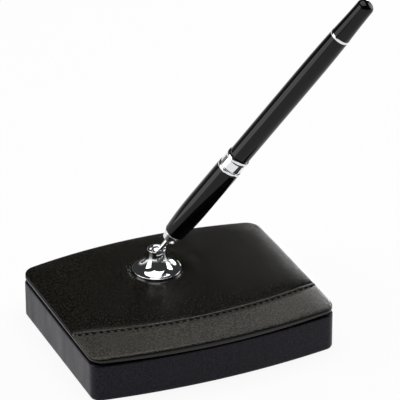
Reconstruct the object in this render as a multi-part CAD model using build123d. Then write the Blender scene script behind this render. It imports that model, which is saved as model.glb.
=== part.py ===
from build123d import *
import math
import os

# A desk pen stand: a leather-covered base with a padded top panel, a slotted swivel bell,
# and a pen standing in a socket on the swivel's ball.
# Sizes are in millimetres and angles in degrees. The origin is the middle of the footprint
# on the desk, +X runs along the base's long side, +Y to its back and +Z up.

# Lower box of the base
base_length = 150.0
base_end_depth = 111.0
base_bow = 6.3
base_corner_radius = 6.0
box_height = 22.0
rim_round = 1.2
under_round = 0.6
side_leather_thickness = 1.0
rim_turn_in = 12.0
under_turn_in = 10.0
felt_thickness = 0.6
felt_inset = 0.5

# Recessed board that holds the panel off the box
reveal_height = 2.8
reveal_inset = 6.0

# Padded top panel
pad_length = 150.2
pad_end_depth = 111.8
pad_bow = 8.6
pad_corner_radius = 9.0
pad_edge_height = 2.55
pad_crown = 1.65
pad_roll = 1.9
pad_roll_limit = 0.9
pad_leather_thickness = 0.7
pad_turn_thickness = 0.5
pad_turn_in = 14.0
panel_board_thickness = 1.3

# Lapped seam between the main leather and the front strip
seam_x = 3.0
seam_mid_y = -37.5
seam_radius = 240.0
hem_width = 1.9
hem_height = 0.45
stitch_offset = 0.9
stitch_pitch = 4.0
stitch_length = 2.7
stitch_width = 0.9
stitch_height = 0.35

# Swivel bell with its ball
swivel_x = -3.4
swivel_y = 22.5
flange_radius = 14.35
flange_edge = 1.1
flange_round = 0.3
neck_height = 2.0
neck_wall = 0.84
lip_wall = 0.5
lip_round = 0.35
slot_width = 4.4
slot_depth = 6.4
ball_radius = 4.5
ball_clearance = 0.06
ball_below_rim = 3.5
lip_seat_height = 2.0
stem_radius = 1.45
stem_stop_clearance = 0.1
cup_rim_drop = 3.0
cup_floor = 1.2
cup_clearance = 0.05
friction_spring_height = 2.94
friction_spring_wire = 0.5
friction_spring_half_turns = 5
spring_side_clearance = 0.5
plug_height = 2.0

# Stud that clamps the bell through the base
stud_radius = 3.0
stud_clearance = 0.2
stud_tail = 0.6
stud_pocket_spare = 1.0
washer_radius = 8.5
washer_thickness = 1.2
pocket_side_clearance = 1.0
nut_across_flats = 10.0
nut_height = 5.0

# Lean of the pen: tilt from upright, and heading from +X towards +Y
pen_tilt = 35.25
pen_heading = -37.0

# Socket, in lengths along the pen's axis from the ball's centre
stem_length = 12.9
ferrule_length = 5.5
ferrule_foot_radius = 4.3
ferrule_foot_round = 0.7
ferrule_top_radius = 5.2
ferrule_collar_radius = 5.55
ferrule_collar_width = 0.9
ferrule_spigot_radius = 4.0
ferrule_spigot_length = 3.8
shell_length = 55.6
shell_radius = 7.24
shell_foot_radius = 6.1
shell_foot_round = 0.8
shell_taper_length = 24.6
shell_floor = 4.0
liner_wall = 0.55
mouth_sleeve_length = 7.0
mouth_sleeve_wall = 1.1
trim_ring_width = 2.2
trim_ring_proud = 0.04
trim_ring_bulge = 0.22
mouth_groove = 0.7
mouth_groove_depth = 0.55
mouth_band_width = 5.6
mouth_band_proud = 0.2
mouth_lip_width = 2.6
mouth_lip_proud = 0.5

# Pen
barrel_radius = 6.3
barrel_length = 97.8
barrel_taper_length = 32.0
barrel_tail_radius = 5.84
barrel_foot_height = 0.9
barrel_seat_width = 0.5
barrel_seat_gap = 0.1
barrel_neck_radius = 5.3
barrel_neck_length = 16.9
neck_clearance = 0.15
bush_length = 10.0
bush_radius = 4.5
bush_wall = 0.6
grip_ring_width = 1.0
grip_ring_radius = 5.35
grip_length = 22.0
grip_radius = 5.0
grip_low_radius = 4.2
grip_clearance = 0.2
nose_length = 11.0
nose_tip_radius = 1.7
nose_spigot_radius = 3.6
nose_spigot_length = 4.0
tail_ring_width = 1.5
tail_ring_proud = 0.1
tail_cap_length = 26.3
tail_cap_step = 0.1
tail_cap_end_radius = 4.98
tail_cap_hollow = 0.12
tail_dome_height = 3.8
tail_crown_radius = 3.2
tail_crown_height = 0.85
tail_spigot_radius = 3.0
tail_spigot_length = 8.0

# Refill and its spring
refill_radius = 2.95
refill_wall = 0.4
refill_length = 80.0
refill_clearance = 0.1
refill_cone_length = 3.0
refill_tip_radius = 1.15
refill_tip_length = 13.0
refill_tip_insert = 2.0
refill_tip_point_radius = 0.35
refill_tip_cone = 3.0
refill_tip_showing = 1.5
refill_plug_length = 3.0
refill_plug_insert = 3.0
refill_spring_height = 10.0
refill_spring_wire = 0.6
refill_spring_radius = 2.0
refill_spring_half_turns = 10

# Clearances shared by many fits
glue_fit = 0.02
thread_fit = 0.02
spring_seat_gap = 0.02

# Heights of the base's layers above the desk
box_bottom = felt_thickness
box_top = box_bottom + box_height
pad_bottom = box_top + reveal_height
board_top = pad_bottom + panel_board_thickness
crown_top = pad_bottom + pad_edge_height + pad_crown

# The panel's crown is a shallow part of a large sphere
crown_reach = math.hypot(pad_length / 2, pad_end_depth / 2)
crown_radius = (crown_reach**2 + pad_crown**2) / (2 * pad_crown)
crown_centre = crown_top - crown_radius


def crown_height(distance):
    """Height of the panel's surface at a distance from its middle."""
    return crown_centre + math.sqrt(crown_radius**2 - distance**2)


# The bell's flange sits on a seat pressed flat in the crowned leather
swivel_reach = math.hypot(swivel_x, swivel_y)
bell_bottom = crown_height(swivel_reach + flange_radius)
chamber_radius = ball_radius + ball_clearance
plug_top = bell_bottom + plug_height
cup_bottom = plug_top + friction_spring_height
ball_centre = cup_bottom + cup_floor + chamber_radius
bell_top = ball_centre + ball_below_rim

# The rim stops the stem just past the pen's resting tilt
tilt = math.radians(pen_tilt)
heading = math.radians(pen_heading)
rim_opening = ball_below_rim * math.tan(tilt) + stem_radius / math.cos(tilt) + stem_stop_clearance
neck_radius = max(chamber_radius + neck_wall, rim_opening + lip_wall)

# Stud, washer and nut hang from the roof of a pocket under the core
stud_hole_radius = stud_radius + stud_clearance
pocket_radius = washer_radius + pocket_side_clearance
pocket_depth = washer_thickness + nut_height + stud_tail + stud_pocket_spare
pocket_roof = box_bottom + pocket_depth
washer_bottom = pocket_roof - washer_thickness
nut_bottom = washer_bottom - nut_height
stud_bottom = nut_bottom - stud_tail

# Places along the pen's axis, from the ball's centre
ferrule_start = stem_length
shell_start = ferrule_start + ferrule_length
shell_top = shell_start + shell_length
liner_start = shell_start + shell_floor
mouth_floor = shell_top - mouth_sleeve_length
trim_ring_top = shell_top + trim_ring_width
band_start = trim_ring_top + mouth_groove
lip_start = band_start + mouth_band_width
mouth_top = lip_start + mouth_lip_width
barrel_start = mouth_top + barrel_seat_gap
barrel_end = barrel_start + barrel_length
neck_end = barrel_start - barrel_neck_length
bush_top = neck_end + bush_length
grip_top = neck_end - grip_ring_width
grip_bottom = grip_top - grip_length
nose_bottom = grip_bottom - nose_length
tip_point = nose_bottom - refill_tip_showing
tip_top = tip_point + refill_tip_length
refill_bottom = tip_top - refill_tip_insert
refill_top = refill_bottom + refill_length
plug_end = refill_top + refill_plug_length
refill_bore_end = plug_end + refill_spring_height
tail_ring_top = barrel_end + tail_ring_width
tail_end = tail_ring_top + tail_cap_length

# Radii that follow from what fits inside what
mouth_bore = barrel_neck_radius + neck_clearance
sleeve_radius = mouth_bore + mouth_sleeve_wall
shell_counterbore = sleeve_radius + glue_fit
liner_bore = grip_radius + grip_clearance
liner_radius = liner_bore + liner_wall
refill_bore = refill_radius + refill_clearance
bush_bore = bush_radius - bush_wall

pen_frame = Plane(
    origin=(swivel_x, swivel_y, ball_centre),
    x_dir=(-math.sin(heading), math.cos(heading), 0),
    z_dir=(math.sin(tilt) * math.cos(heading), math.sin(tilt) * math.sin(heading), math.cos(tilt)),
)


def bowed_plan(length, end_depth, bow, corner_radius, inset):
    """Plan with straight ends and bowed long sides; the inset runs parallel to the outline."""
    bow_radius = ((length / 2) ** 2 + bow**2) / (2 * bow)
    arc_centre = end_depth / 2 + bow - bow_radius
    x = length / 2 - inset
    corner_y = arc_centre + math.sqrt((bow_radius - inset) ** 2 - x**2)
    middle_y = end_depth / 2 + bow - inset
    outline = [
        ThreePointArc((x, corner_y), (0, middle_y), (-x, corner_y)),
        Line((-x, corner_y), (-x, -corner_y)),
        ThreePointArc((-x, -corner_y), (0, -middle_y), (x, -corner_y)),
        Line((x, -corner_y), (x, corner_y)),
    ]
    plan = make_face(outline)
    if corner_radius > inset:
        plan = fillet(plan.vertices(), corner_radius - inset)
    return plan


def box_plan(inset=0.0):
    return bowed_plan(base_length, base_end_depth, base_bow, base_corner_radius, inset)


def pad_plan(inset=0.0):
    return bowed_plan(pad_length, pad_end_depth, pad_bow, pad_corner_radius, inset)


def slab(plan, bottom, top):
    return Pos(0, 0, bottom) * extrude(plan, top - bottom)


def drill(radius, bottom, top):
    """Upright cylinder on the swivel's axis."""
    return Pos(swivel_x, swivel_y, (bottom + top) / 2) * Cylinder(radius, top - bottom)


def turned(*outline):
    """Solid of revolution about Z from a closed outline of edges in (radius, height)."""
    return revolve(Plane.XZ * make_face(outline), Axis.Z)


def turned_steps(*points):
    """Solid of revolution about Z with straight sides."""
    return turned(Polyline(*points, close=True))


def tube(inner, outer, bottom, top):
    return turned_steps((inner, bottom), (outer, bottom), (outer, top), (inner, top))


def on_pen_axis(piece):
    return pen_frame * piece


def on_swivel(piece):
    return Pos(swivel_x, swivel_y, 0) * piece


def crowned_pad(inset, bottom, edge_height):
    """Solid of the panel with its crown and rolled edge, inset all round and on top.
    The roll takes up no more than a set share of a low edge."""
    block = slab(pad_plan(inset), bottom, crown_top + pad_crown)
    dome = Pos(0, 0, crown_centre) * Rot(90, 0, 0) * Sphere(crown_radius - inset)
    pad = block & dome
    rim = pad.faces().sort_by(Axis.Z)[-1].edges()
    return fillet(rim, min(pad_roll - inset, pad_roll_limit * edge_height))


def seam_disc(extra_radius):
    """Everything behind an arc that runs parallel to the seam."""
    middle = (seam_x, seam_mid_y + seam_radius, pad_bottom)
    return Pos(*middle) * Cylinder(seam_radius + extra_radius, 2 * crown_top)


def coil(mean_radius, wire_diameter, height, half_turns):
    """Open coil from height 0: half circles, each tilted so that it climbs half a pitch."""
    wire_radius = wire_diameter / 2
    rise = (height - wire_diameter) / half_turns
    reach = math.hypot(mean_radius, rise / 2)
    arcs = []
    for index in range(half_turns):
        side = mean_radius if index % 2 == 0 else -mean_radius
        bulge = math.copysign(reach, side)
        low = wire_radius + index * rise
        arcs.append(ThreePointArc((side, 0, low), (0, bulge, low + rise / 2), (-side, 0, low + rise)))
    path = Wire(arcs)
    section = Plane(origin=path @ 0, z_dir=path % 0) * Circle(wire_radius)
    print("coil gap", round(coil_gap(path, half_turns) - wire_diameter, 3))
    return sweep(section, path=path)


def coil_gap(path, half_turns, steps=12):
    """Least distance between points of a coil's centre line that lie over half a turn apart."""
    points = path.positions([index / (steps * half_turns) for index in range(steps * half_turns + 1)])
    distances = []
    for index, point in enumerate(points):
        distances += [(point - other).length for other in points[index + steps + steps // 2:]]
    return min(distances)


def make_base():
    core_bottom = box_bottom + side_leather_thickness
    core_top = box_top - side_leather_thickness
    core_block = (
        slab(box_plan(under_turn_in), box_bottom, core_bottom)
        + slab(box_plan(side_leather_thickness), core_bottom, core_top)
        + slab(box_plan(rim_turn_in), core_top, box_top)
    )
    wrapped = slab(box_plan(), box_bottom, box_top)
    wrapped = fillet(wrapped.edges().group_by(Axis.Z)[-1], rim_round)
    wrapped = fillet(wrapped.edges().group_by(Axis.Z)[0], under_round)
    return {
        "base_felt": slab(box_plan(felt_inset), 0, felt_thickness),
        "base_core": core_block
        - drill(stud_hole_radius, box_bottom, box_top)
        - drill(pocket_radius, box_bottom, pocket_roof),
        "side_leather": wrapped - core_block,
        "reveal_board": slab(box_plan(reveal_inset), box_top, pad_bottom)
        - drill(stud_hole_radius, box_top, pad_bottom),
    }


def make_panel():
    outer = crowned_pad(0, pad_bottom, pad_edge_height)
    inner_bottom = pad_bottom + pad_turn_thickness
    inner_edge = pad_edge_height - pad_turn_thickness - pad_leather_thickness
    inner = crowned_pad(pad_leather_thickness, inner_bottom, inner_edge)
    inner += slab(pad_plan(pad_turn_in), pad_bottom, inner_bottom)
    below_foam = slab(pad_plan(), pad_bottom, board_top)
    cover = outer - inner
    stud_hole = drill(stud_hole_radius, pad_bottom, crown_top)
    flange_seat = drill(flange_radius + glue_fit, bell_bottom, crown_top)
    hem = crowned_pad(-hem_height, pad_bottom, pad_edge_height + hem_height)
    hem = (hem & (seam_disc(hem_width) - seam_disc(0))) - outer
    return {
        "panel_board": (inner & below_foam) - stud_hole,
        "panel_foam": inner - below_foam - stud_hole,
        "top_leather": (cover & seam_disc(0)) - stud_hole - flange_seat,
        "front_leather": (cover - seam_disc(0)) + hem,
        "seam_stitches": make_stitches(),
    }


def make_stitches():
    """Short flattened threads on the front strip, along an arc in front of the hem."""
    half_width = stitch_width / 2
    section = make_face([
        ThreePointArc((-half_width, 0), (0, stitch_height), (half_width, 0)),
        Line((half_width, 0), (-half_width, 0)),
    ])
    stitch = extrude(Plane.YZ * section, stitch_length / 2, both=True)
    line_radius = seam_radius + hem_width + stitch_offset
    end = pad_length / 2 - pad_roll - stitch_length
    first = math.asin((-end - seam_x) / line_radius)
    last = math.asin((end - seam_x) / line_radius)
    gaps = int((last - first) * line_radius / stitch_pitch)
    stitches = []
    for index in range(gaps + 1):
        angle = first + (last - first) * index / gaps
        x = seam_x + line_radius * math.sin(angle)
        y = seam_mid_y + seam_radius - line_radius * math.cos(angle)
        z = crown_height(math.hypot(x, y))
        normal = Vector(x, y, z - crown_centre).normalized()
        along = Vector(math.cos(angle), math.sin(angle), 0)
        along = (along - normal * along.dot(normal)).normalized()
        stitches.append(Plane(Vector(x, y, z) + normal * glue_fit, x_dir=along, z_dir=normal) * stitch)
    return Compound(children=stitches)


def make_bell():
    """Trumpet-shaped bell with a flange, a ball chamber closed in by its lip, and a front slot."""
    flare_top = bell_top - neck_height
    flare_edge = flange_radius - flange_round
    flare_bottom = bell_bottom + flange_edge + flange_round
    seat_radius = math.sqrt(chamber_radius**2 - lip_seat_height**2)
    seat_middle = math.asin(lip_seat_height / chamber_radius) / 2
    bell = turned(
        Line((chamber_radius, bell_bottom), (flange_radius, bell_bottom)),
        Line((flange_radius, bell_bottom), (flange_radius, bell_bottom + flange_edge)),
        TangentArc((flange_radius, bell_bottom + flange_edge), (flare_edge, flare_bottom), tangent=(0, 1)),
        EllipticalCenterArc(
            (flare_edge, flare_top), flare_edge - neck_radius, flare_top - flare_bottom, 180, arc_size=90
        ),
        Line((neck_radius, flare_top), (neck_radius, bell_top - lip_round)),
        TangentArc((neck_radius, bell_top - lip_round), (neck_radius - lip_round, bell_top), tangent=(0, 1)),
        Line((neck_radius - lip_round, bell_top), (rim_opening, bell_top)),
        Line((rim_opening, bell_top), (seat_radius, ball_centre + lip_seat_height)),
        ThreePointArc(
            (seat_radius, ball_centre + lip_seat_height),
            (chamber_radius * math.cos(seat_middle), ball_centre + chamber_radius * math.sin(seat_middle)),
            (chamber_radius, ball_centre),
        ),
        Line((chamber_radius, ball_centre), (chamber_radius, bell_bottom)),
    )
    slot_end = bell_top - slot_depth + slot_width / 2
    slot_plan = Pos(0, (slot_end + bell_top) / 2) * Rectangle(slot_width, bell_top - slot_end)
    slot_plan += Pos(0, slot_end) * Circle(slot_width / 2)
    return bell - extrude(Plane.XZ * slot_plan, flange_radius)


def make_swivel():
    cup_top = ball_centre - cup_rim_drop
    cup_radius = chamber_radius - cup_clearance
    cup = tube(0, cup_radius, cup_bottom, cup_top) - Pos(0, 0, ball_centre) * Sphere(chamber_radius)
    spring_room = friction_spring_height - 2 * spring_seat_gap
    spring_radius = chamber_radius - spring_side_clearance - friction_spring_wire / 2
    spring = coil(spring_radius, friction_spring_wire, spring_room, friction_spring_half_turns)
    stud = turned_steps(
        (0, stud_bottom),
        (stud_radius, stud_bottom),
        (stud_radius, bell_bottom),
        (chamber_radius - thread_fit, bell_bottom),
        (chamber_radius - thread_fit, plug_top),
        (0, plug_top),
    )
    nut_plan = RegularPolygon(nut_across_flats / 2, 6, major_radius=False) - Circle(stud_radius + thread_fit)
    pieces = {
        "swivel_bell": make_bell(),
        "friction_cup": cup,
        "friction_spring": Pos(0, 0, plug_top + spring_seat_gap) * spring,
        "mounting_stud": stud,
        "stud_washer": tube(stud_hole_radius, washer_radius, washer_bottom, pocket_roof),
        "stud_nut": slab(nut_plan, nut_bottom, washer_bottom),
    }
    return {name: on_swivel(piece) for name, piece in pieces.items()}


def make_shell():
    """Black socket tube: rounded foot, a taper that runs out into the straight mouth end."""
    spigot_hole = ferrule_spigot_radius + glue_fit
    foot_top = shell_start + shell_foot_round
    taper_top = shell_start + shell_taper_length
    bore = liner_radius + glue_fit
    return turned(
        Line((spigot_hole, shell_start), (shell_foot_radius - shell_foot_round, shell_start)),
        TangentArc(
            (shell_foot_radius - shell_foot_round, shell_start), (shell_foot_radius, foot_top), tangent=(1, 0)
        ),
        TangentArc((shell_radius, taper_top), (shell_foot_radius, foot_top), tangent=(0, -1)),
        Line((shell_radius, taper_top), (shell_radius, shell_top)),
        Polyline(
            (shell_radius, shell_top),
            (shell_counterbore, shell_top),
            (shell_counterbore, mouth_floor),
            (bore, mouth_floor),
            (bore, liner_start),
            (spigot_hole, liner_start),
            (spigot_hole, shell_start),
        ),
    )


def make_mouth_band():
    """Chrome band: a sleeve in the shell, a groove, a plain band and a rounded lip."""
    groove_radius = sleeve_radius - mouth_groove_depth
    band_radius = sleeve_radius + mouth_band_proud
    lip_radius = sleeve_radius + mouth_lip_proud
    return turned(
        Polyline(
            (band_radius, lip_start),
            (band_radius, band_start),
            (groove_radius, band_start),
            (groove_radius, trim_ring_top),
            (sleeve_radius, trim_ring_top),
            (sleeve_radius, mouth_floor),
            (mouth_bore, mouth_floor),
            (mouth_bore, mouth_top),
            (band_radius, mouth_top),
        ),
        ThreePointArc(
            (band_radius, mouth_top), (lip_radius, (lip_start + mouth_top) / 2), (band_radius, lip_start)
        ),
    )


def make_trim_ring():
    outer = shell_radius + trim_ring_proud
    side = outer - trim_ring_bulge
    inner = sleeve_radius + glue_fit
    return turned(
        Polyline((side, trim_ring_top), (inner, trim_ring_top), (inner, shell_top), (side, shell_top)),
        ThreePointArc((side, shell_top), (outer, (shell_top + trim_ring_top) / 2), (side, trim_ring_top)),
    )


def make_ferrule(stem_hole, stem_end):
    """Cone on the stem with a rounded foot, a collar under the shell and a spigot in it."""
    foot_flat = ferrule_foot_radius - ferrule_foot_round
    foot_top = ferrule_start + ferrule_foot_round
    collar_start = shell_start - ferrule_collar_width
    collar_middle = (collar_start + shell_start) / 2
    return turned(
        Line((stem_hole, ferrule_start), (foot_flat, ferrule_start)),
        TangentArc((foot_flat, ferrule_start), (ferrule_foot_radius, foot_top), tangent=(1, 0)),
        Line((ferrule_foot_radius, foot_top), (ferrule_top_radius, collar_start)),
        ThreePointArc(
            (ferrule_top_radius, collar_start),
            (ferrule_collar_radius, collar_middle),
            (ferrule_top_radius, shell_start),
        ),
        Polyline(
            (ferrule_top_radius, shell_start),
            (ferrule_spigot_radius, shell_start),
            (ferrule_spigot_radius, stem_end),
            (stem_hole, stem_end),
            (stem_hole, ferrule_start),
        ),
    )


def make_socket():
    stem_end = shell_start + ferrule_spigot_length
    stem_hole = stem_radius + thread_fit
    pieces = {
        "ball_stem": Sphere(ball_radius) + tube(0, stem_radius, 0, stem_end),
        "socket_ferrule": make_ferrule(stem_hole, stem_end),
        "socket_shell": make_shell(),
        "socket_liner": tube(liner_bore, liner_radius, liner_start, mouth_floor),
        "trim_ring": make_trim_ring(),
        "mouth_band": make_mouth_band(),
    }
    return {name: on_pen_axis(piece) for name, piece in pieces.items()}


def make_barrel():
    """Barrel with a neck that enters the socket, a rounded foot and a tail that tapers."""
    foot_radius = barrel_neck_radius + barrel_seat_width
    foot_top = barrel_start + barrel_foot_height
    taper_start = barrel_end - barrel_taper_length
    bush_seat = bush_radius + glue_fit
    barrel_bore = refill_bore + refill_clearance
    tail_bore = tail_spigot_radius + glue_fit
    tail_bore_end = barrel_end - tail_spigot_length
    return turned(
        Polyline(
            (bush_seat, neck_end),
            (barrel_neck_radius, neck_end),
            (barrel_neck_radius, barrel_start),
            (foot_radius, barrel_start),
        ),
        EllipticalCenterArc(
            (foot_radius, foot_top), barrel_radius - foot_radius, barrel_foot_height, 270, arc_size=90
        ),
        Line((barrel_radius, foot_top), (barrel_radius, taper_start)),
        TangentArc((barrel_radius, taper_start), (barrel_tail_radius, barrel_end), tangent=(0, 1)),
        Polyline(
            (barrel_tail_radius, barrel_end),
            (tail_bore, barrel_end),
            (tail_bore, tail_bore_end),
            (0, tail_bore_end),
            (0, refill_bore_end),
            (barrel_bore, refill_bore_end),
            (barrel_bore, bush_top),
            (bush_seat, bush_top),
            (bush_seat, neck_end),
        ),
    )


def make_tail_cap():
    """Tapered end with slightly hollow sides, a domed top and a spigot for the barrel."""
    foot_radius = barrel_tail_radius - tail_cap_step
    dome_start = tail_end - tail_dome_height
    crown_start = tail_end - tail_crown_height
    middle_radius = (foot_radius + tail_cap_end_radius) / 2 - tail_cap_hollow
    spigot_end = barrel_end - tail_spigot_length + glue_fit
    return turned(
        Polyline(
            (0, tail_end),
            (0, spigot_end),
            (tail_spigot_radius, spigot_end),
            (tail_spigot_radius, tail_ring_top),
            (foot_radius, tail_ring_top),
        ),
        ThreePointArc(
            (foot_radius, tail_ring_top),
            (middle_radius, (tail_ring_top + dome_start) / 2),
            (tail_cap_end_radius, dome_start),
        ),
        TangentArc((tail_cap_end_radius, dome_start), (tail_crown_radius, crown_start), tangent=(0, 1)),
        TangentArc((0, tail_end), (tail_crown_radius, crown_start), tangent=(1, 0)),
    )


def make_tail_ring():
    outer = barrel_tail_radius + tail_ring_proud
    inner = tail_spigot_radius + glue_fit
    return turned(
        Polyline(
            (barrel_tail_radius, tail_ring_top),
            (inner, tail_ring_top),
            (inner, barrel_end),
            (barrel_tail_radius, barrel_end),
        ),
        ThreePointArc(
            (barrel_tail_radius, barrel_end),
            (outer, (barrel_end + tail_ring_top) / 2),
            (barrel_tail_radius, tail_ring_top),
        ),
    )


def make_grip():
    """Grip section: a gentle taper, a threaded spigot above and a socket for the nose below."""
    spigot_radius = bush_bore - thread_fit
    nose_socket = nose_spigot_radius + thread_fit
    nose_socket_top = grip_bottom + nose_spigot_length + thread_fit
    return turned_steps(
        (nose_socket, grip_bottom),
        (grip_low_radius, grip_bottom),
        (grip_radius, grip_top),
        (spigot_radius, grip_top),
        (spigot_radius, bush_top),
        (refill_bore, bush_top),
        (refill_bore, nose_socket_top),
        (nose_socket, nose_socket_top),
    )


def make_nose():
    """Nose cone with a spigot in the grip and a narrow bore for the writing tip."""
    tip_bore = refill_tip_radius + refill_clearance
    spigot_top = grip_bottom + nose_spigot_length
    seat = refill_bottom - glue_fit
    seat_radius = refill_tip_radius + refill_wall + refill_clearance
    return turned_steps(
        (tip_bore, nose_bottom),
        (nose_tip_radius, nose_bottom),
        (grip_low_radius, grip_bottom),
        (nose_spigot_radius, grip_bottom),
        (nose_spigot_radius, spigot_top),
        (refill_bore, spigot_top),
        (refill_bore, seat + refill_cone_length),
        (seat_radius, seat),
        (tip_bore, seat),
    )


def make_refill():
    """Metal tube with a coned shoulder, its writing tip and the plug in its back end."""
    bore = refill_radius - refill_wall
    tip_hole = refill_tip_radius + glue_fit
    plug_spigot = bore - glue_fit
    plug_bottom = refill_top - refill_plug_insert
    body = turned_steps(
        (tip_hole, refill_bottom),
        (refill_tip_radius + refill_wall, refill_bottom),
        (refill_radius, refill_bottom + refill_cone_length),
        (refill_radius, refill_top),
        (bore, refill_top),
        (bore, refill_bottom + refill_cone_length),
        (tip_hole, tip_top),
    )
    tip = turned_steps(
        (0, tip_point),
        (refill_tip_point_radius, tip_point),
        (refill_tip_radius, tip_point + refill_tip_cone),
        (refill_tip_radius, tip_top),
        (0, tip_top),
    )
    plug = turned_steps(
        (0, plug_bottom),
        (plug_spigot, plug_bottom),
        (plug_spigot, refill_top),
        (refill_radius, refill_top),
        (refill_radius, plug_end),
        (0, plug_end),
    )
    return body, tip, plug


def make_pen():
    refill_body, refill_tip, refill_plug = make_refill()
    spring_room = refill_spring_height - 2 * spring_seat_gap
    spring = coil(refill_spring_radius, refill_spring_wire, spring_room, refill_spring_half_turns)
    pieces = {
        "pen_barrel": make_barrel(),
        "tail_ring": make_tail_ring(),
        "tail_cap": make_tail_cap(),
        "barrel_bush": tube(bush_bore, bush_radius, neck_end, bush_top),
        "grip_ring": tube(bush_bore, grip_ring_radius, grip_top, neck_end),
        "pen_grip": make_grip(),
        "nose_cone": make_nose(),
        "refill_body": refill_body,
        "refill_tip": refill_tip,
        "refill_plug": refill_plug,
        "refill_spring": Pos(0, 0, plug_end + spring_seat_gap) * spring,
    }
    return {name: on_pen_axis(piece) for name, piece in pieces.items()}


os.makedirs("parts", exist_ok=True)
for make in (make_base, make_panel, make_swivel, make_socket, make_pen):
    for node, piece in make().items():
        export_step(piece, f"parts/{node}.step")
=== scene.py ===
"""Dresses a desk pen stand in leather, chrome and lacquer, and sets up its studio."""

import math
from functools import partial

import bmesh
import bpy
from bpy.props import FloatProperty, FloatVectorProperty, PointerProperty, StringProperty
from mathutils import Matrix, Quaternion, Vector
from mathutils.kdtree import KDTree


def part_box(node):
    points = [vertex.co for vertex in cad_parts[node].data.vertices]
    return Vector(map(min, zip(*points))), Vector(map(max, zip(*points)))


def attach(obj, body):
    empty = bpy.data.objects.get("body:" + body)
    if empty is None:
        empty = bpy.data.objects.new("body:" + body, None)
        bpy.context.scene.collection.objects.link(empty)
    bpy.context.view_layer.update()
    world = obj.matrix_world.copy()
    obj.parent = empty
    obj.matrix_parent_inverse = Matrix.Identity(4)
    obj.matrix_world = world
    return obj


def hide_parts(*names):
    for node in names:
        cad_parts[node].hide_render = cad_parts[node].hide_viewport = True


bl_info = {
    "name": "Leather Pen Stand",
    "version": (1, 0, 0),
    "blender": (4, 5, 0),
    "location": "3D View > Sidebar > Pen Stand",
    "description": "Dresses a desk pen stand in leather, chrome and lacquer, and sets up its studio",
    "category": "Object",
}

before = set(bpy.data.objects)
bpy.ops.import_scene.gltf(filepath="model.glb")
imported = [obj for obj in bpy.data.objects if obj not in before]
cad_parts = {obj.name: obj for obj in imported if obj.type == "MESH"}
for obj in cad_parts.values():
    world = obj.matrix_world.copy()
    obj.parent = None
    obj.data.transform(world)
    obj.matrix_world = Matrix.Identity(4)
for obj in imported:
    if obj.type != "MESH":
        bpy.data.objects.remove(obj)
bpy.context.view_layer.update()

MM = 0.001
WHITE = (1, 1, 1, 1)

# Small distances
SHARP_CORNER = 0.2 * MM
SAME_PLACE = 0.01 * MM
DOUBLES = 0.002 * MM
FLANGE_GAP = 0.02 * MM

# Places taken from the frame
panel_low, panel_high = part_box("top_leather")
box_low, box_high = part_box("side_leather")
felt_low, felt_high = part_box("base_felt")
foam_low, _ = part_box("panel_foam")
bell_low, bell_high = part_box("swivel_bell")
swivel = (bell_low + bell_high) / 2
flange_radius = (bell_high.x - bell_low.x) / 2


# Properties


def length_property(name, description, default):
    return FloatProperty(name=name, description=description, default=default, unit="LENGTH", precision=5)


def number_property(name, description, default):
    return FloatProperty(name=name, description=description, default=default)


def point_property(name, description, default):
    return FloatVectorProperty(
        name=name, description=description, default=default, subtype="XYZ", unit="LENGTH", precision=5
    )


def angle_property(name, description, degrees):
    return FloatProperty(name=name, description=description, default=math.radians(degrees), subtype="ANGLE")


def colour_property(name, description, default):
    return StringProperty(name=name, description=description + ", as an sRGB hex value", default=default)


class PenStandPanel(bpy.types.PropertyGroup):
    """Padded leather panel on top of the base."""

    length: length_property("Length", "Length of the panel", panel_high.x - panel_low.x)
    depth: length_property("Depth", "Depth of the panel across its middle", 2 * panel_high.y)
    bow: length_property("Bow", "How far the long sides bow out", 8.6 * MM)
    corner: length_property("Corner radius", "Rounding of the corners in plan", 9.0 * MM)
    crown: length_property("Crown", "Rise of the middle over the corners", 1.65 * MM)
    end_fall: length_property("End fall", "How far the ends bend down at the front", 1.0 * MM)
    end_width: length_property("End width", "Length of the ends that bend down", 14.0 * MM)
    roll: length_property("Edge roll", "Rounding of the top edge", 0.8 * MM)
    groove: length_property("Edge groove", "Height of the groove under the rolled edge", 0.7 * MM)
    groove_depth: length_property("Groove depth", "Depth of the groove under the rolled edge", 1.2 * MM)
    turn_round: length_property("Lower round", "Rounding of the lower edge", 0.5 * MM)
    hang: length_property("Hang", "How far the wrapped edge hangs below the board", 0.8 * MM)
    turn_in: length_property("Turn-in", "Width of leather turned under the board", 14.0 * MM)
    leather: length_property("Leather", "Thickness of the main leather", 0.7 * MM)
    strip_leather: length_property("Strip leather", "Thickness of the front strip", 0.35 * MM)
    stud_hole: length_property("Stud hole", "Radius of the hole for the stud", 3.6 * MM)
    spacing: length_property("Mesh spacing", "Distance between the mesh's rows", 1.0 * MM)
    swell: length_property("Swell", "Most that the padding lifts the main leather", 1.5 * MM)
    strip_swell: length_property("Strip swell", "Most that the padding lifts the front strip", 0.15 * MM)
    press: length_property("Press", "Width of the dip round the clamped flange", 4.5 * MM)
    puff: length_property("Puff", "How far the leather wells up round the clamped flange", 0.7 * MM)
    main_colour: colour_property("Main colour", "Colour of the main leather", "#171612")
    strip_colour: colour_property("Strip colour", "Colour of the front strip", "#403e39")


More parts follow.
